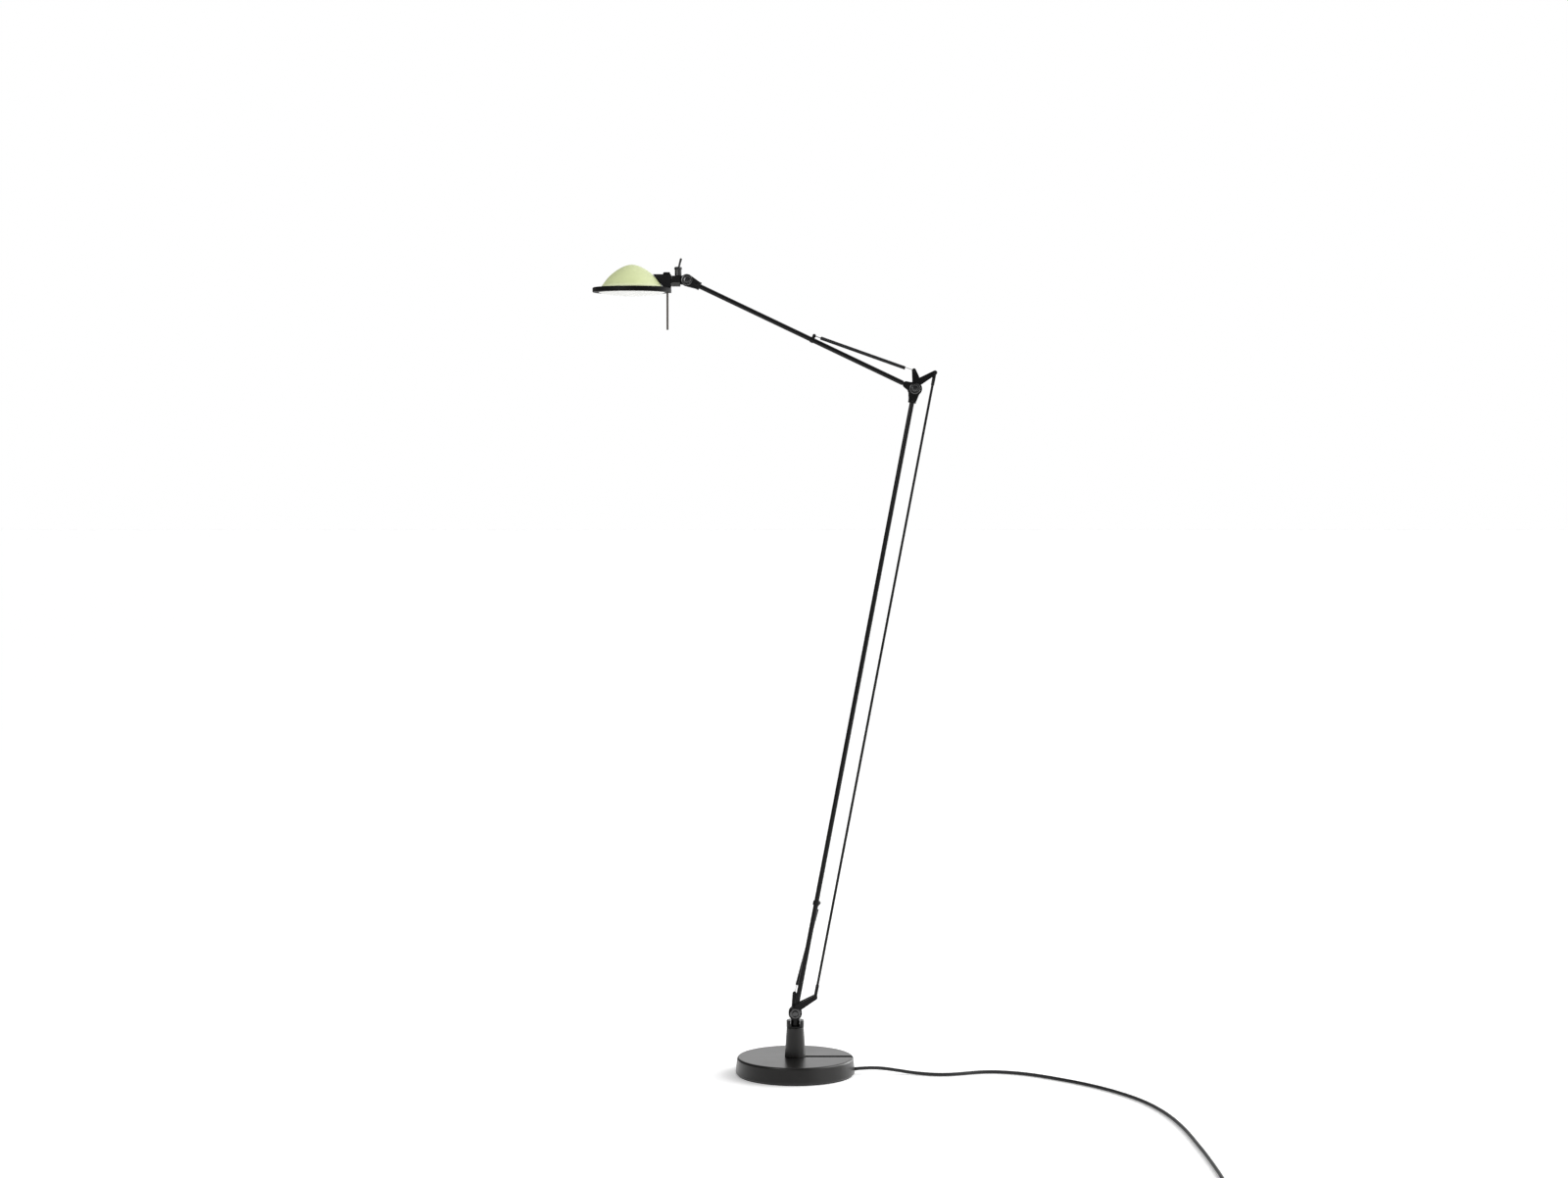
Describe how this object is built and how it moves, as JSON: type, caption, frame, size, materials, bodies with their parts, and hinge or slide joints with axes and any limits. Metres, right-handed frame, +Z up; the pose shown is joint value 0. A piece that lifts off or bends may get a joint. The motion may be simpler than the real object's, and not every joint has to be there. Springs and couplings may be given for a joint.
{
  "type": "adjustable arm floor lamp",
  "caption": "Floor lamp: heavy round base with a cord slot, swivelling sprung parallel arms, and a tilting, rolling head with a frosted glass dome, switch and handle.",
  "frame": {"origin": "centre of the underside of the round base, on the floor", "axes": "+Z up, the arms fold in the XZ plane, the head points to -X at rest and the cord slot to +X"},
  "size_m": [1.0888, 1.1285, 1.5637],
  "materials": {
    "base_paint": "satin charcoal paint",
    "black_steel": "satin black paint",
    "black_casting": "satin black paint on a casting",
    "grey_casting": "satin grey paint on a casting",
    "bright_steel": "brushed steel",
    "spring_steel": "dark spring wire",
    "green_glass": "frosted pale green glass",
    "white_diffuser": "frosted white glass",
    "ceramic": null,
    "bulb_glass": "clear capsule glass",
    "black_plastic": "matt black plastic",
    "white_plastic": "plain white plastic",
    "cord_rubber": "matt black cord sheath",
    "pad_rubber": "matt rubber"
  },
  "bodies": {
    "base": {"base_disc": "base_paint", "base_pad": "pad_rubber", "post": "base_paint", "post_nut": "bright_steel", "swivel_bush": "white_plastic", "cord_grip": "black_plastic", "cord_inner": "cord_rubber", "cord_run": "cord_rubber", "cord_coil": "cord_rubber", "coil_tie": "black_plastic", "cord_tail": "cord_rubber", "plug": "black_plastic"},
    "turret": {"collar": "black_casting", "turret_yoke": "black_casting", "circlip": "bright_steel", "base_pivot_bolt": "black_steel", "base_pivot_cup_washer": "black_steel", "base_pivot_cap_nut": "bright_steel", "lower_rod_rivet": "black_steel", "lower_spring_stud": "black_steel"},
    "lower_arm": {"lower_foot": "black_casting", "lower_tube": "black_steel", "lower_head": "black_casting", "lower_head_screw": "black_steel", "lower_spring_clip": "black_steel"},
    "parallel_rod": {"parallel_rod": "black_steel"},
    "lower_spring_coil": {"lower_spring_coil": "spring_steel"},
    "lower_spring_hook": {"lower_spring_hook": "spring_steel"},
    "elbow_bracket": {"elbow_bracket": "black_steel", "elbow_bolt": "black_steel", "elbow_cup_washer": "black_steel", "elbow_cap_nut": "bright_steel", "upper_rod_rivet": "black_steel", "upper_spring_rivet": "black_steel"},
    "upper_arm": {"upper_foot": "black_casting", "upper_tube": "black_steel", "upper_fork": "black_casting", "upper_fork_screw": "black_steel", "upper_spring_clip": "black_steel"},
    "upper_spring_coil": {"upper_spring_coil": "spring_steel"},
    "upper_spring_hook": {"upper_spring_hook": "spring_steel"},
    "head_carrier": {"switch_housing": "black_casting", "housing_cover": "grey_casting", "switch_body": "black_plastic", "switch_bushing": "black_casting", "head_bolt": "black_steel", "head_cup_washer": "black_steel", "head_cap_nut": "bright_steel"},
    "switch_lever": {"switch_lever": "black_casting"},
    "head": {"head_block": "black_casting", "block_cap": "black_casting", "head_ring": "black_casting", "glass_dome": "green_glass", "diffuser": "white_diffuser", "lamp_socket": "ceramic", "bulb": "bulb_glass", "handle_boss": "grey_casting", "handle": "bright_steel"}
  },
  "joints": [
    {"name": "base_swivel", "type": "hinge", "parent": "base", "child": "turret", "pos_m": [0, 0, 0.1187], "axis": [0, 0, 1], "range_deg": [-170, 170]},
    {"name": "base_tilt", "type": "hinge", "parent": "turret", "child": "lower_arm", "pos_m": [0, 0, 0.1187], "axis": [0, 1, 0], "range_deg": [-25, 24]},
    {"name": "rod_tilt", "type": "hinge", "parent": "turret", "child": "parallel_rod", "pos_m": [0.0385, 0, 0.1492], "axis": [0, 1, 0], "range_deg": [-25.6, 24.6]},
    {"name": "lower_hook_turn", "type": "hinge", "parent": "turret", "child": "lower_spring_hook", "pos_m": [-0.0015, 0, 0.1537], "axis": [0, 1, 0], "range_deg": [-29.96, 28.79], "deforming": ["lower_spring_hook"]},
    {"name": "lower_coil_turn", "type": "hinge", "parent": "lower_arm", "child": "lower_spring_coil", "pos_m": [0.04569, 0, 0.32988], "axis": [0, 1, 0], "range_deg": [-4.96, 4.79], "deforming": ["lower_spring_coil"]},
    {"name": "bracket_turn", "type": "hinge", "parent": "lower_arm", "child": "elbow_bracket", "pos_m": [0.22737, 0, 1.31631], "axis": [0, 1, 0], "range_deg": [-24.6, 25.6]},
    {"name": "elbow_tilt", "type": "hinge", "parent": "elbow_bracket", "child": "upper_arm", "pos_m": [0.22737, 0, 1.31631], "axis": [0, 1, 0], "range_deg": [-30, 20]},
    {"name": "upper_hook_turn", "type": "hinge", "parent": "elbow_bracket", "child": "upper_spring_hook", "pos_m": [0.22587, 0, 1.35131], "axis": [0, 1, 0], "range_deg": [-31.98, 21.52], "deforming": ["upper_spring_hook"]},
    {"name": "upper_coil_turn", "type": "hinge", "parent": "upper_arm", "child": "upper_spring_coil", "pos_m": [0.03603, 0, 1.41691], "axis": [0, 1, 0], "range_deg": [-1.98, 1.52], "deforming": ["upper_spring_coil"]},
    {"name": "head_tilt", "type": "hinge", "parent": "upper_arm", "child": "head_carrier", "pos_m": [-0.20623, 0, 1.5222], "axis": [0, 1, 0], "range_deg": [-60, 45]},
    {"name": "switch_toggle", "type": "hinge", "parent": "head_carrier", "child": "switch_lever", "pos_m": [-0.22283, 0, 1.542], "axis": [0, 1, 0], "range_deg": [-30, 0]},
    {"name": "head_roll", "type": "hinge", "parent": "head_carrier", "child": "head", "pos_m": [-0.23583, 0, 1.5204], "axis": [1, 0, 0], "range_deg": [-120, 120]}
  ],
  "couplings": [
    {"joint": "rod_tilt", "follows": "base_tilt", "ratio": 1},
    {"joint": "lower_hook_turn", "follows": "base_tilt", "ratio": 1.1745},
    {"joint": "lower_coil_turn", "follows": "base_tilt", "ratio": 0.1745},
    {"joint": "bracket_turn", "follows": "base_tilt", "ratio": -1},
    {"joint": "upper_hook_turn", "follows": "elbow_tilt", "ratio": 1.046},
    {"joint": "upper_coil_turn", "follows": "elbow_tilt", "ratio": 0.046}
  ]
}
